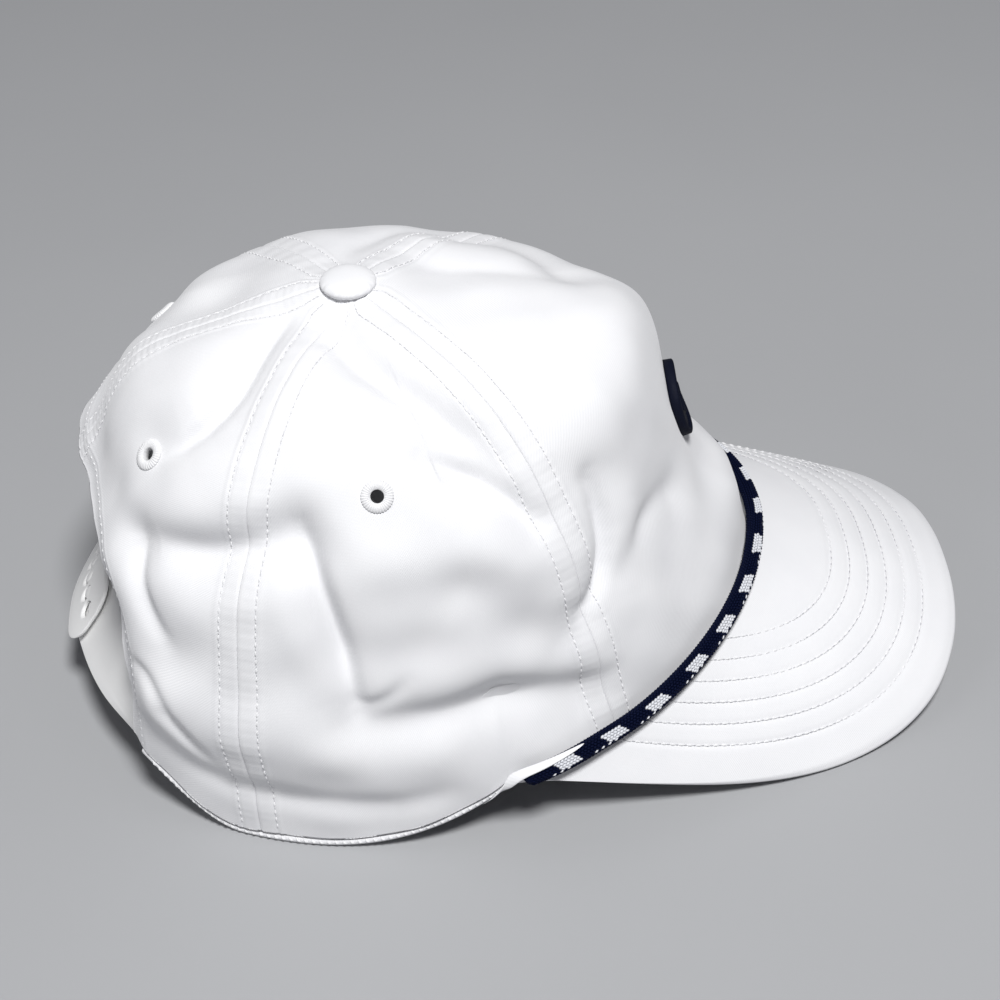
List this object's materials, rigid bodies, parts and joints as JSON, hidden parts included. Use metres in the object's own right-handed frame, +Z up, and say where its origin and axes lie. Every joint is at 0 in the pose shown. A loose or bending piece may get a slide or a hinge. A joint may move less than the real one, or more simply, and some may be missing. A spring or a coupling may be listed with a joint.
{
  "type": "rope cap",
  "caption": "Cotton cap with a stiff front, bent peak, braided cord on the peak seam, sewn eyelets, covered button and a snap strap at the back.",
  "frame": {"origin": "middle of the cap's bounding box, on the table it stands on", "axes": "+Z up, the peak points to -Y, the wearer's right is -X"},
  "size_m": [0.1696, 0.2586, 0.1278],
  "materials": {
    "cotton_twill": "matte",
    "cotton_band": "matte",
    "braided_cord": "matte",
    "badge_thread": "satin",
    "white_thread": "satin",
    "strap_plastic": "satin"
  },
  "bodies": {
    "root": {"front_panel": "cotton_twill", "side_panel_right": "cotton_twill", "side_panel_left": "cotton_twill", "rear_panel_right": "cotton_twill", "rear_panel_left": "cotton_twill", "sweatband": "cotton_band", "peak": "cotton_twill", "rope": "braided_cord", "badge": "badge_thread", "strap_outer_tab": "strap_plastic", "strap_inner_tab": "strap_plastic", "button": "cotton_twill", "eyelet_side_right": "white_thread", "eyelet_side_left": "white_thread", "eyelet_rear_right": "white_thread", "eyelet_rear_left": "white_thread"}
  },
  "joints": []
}
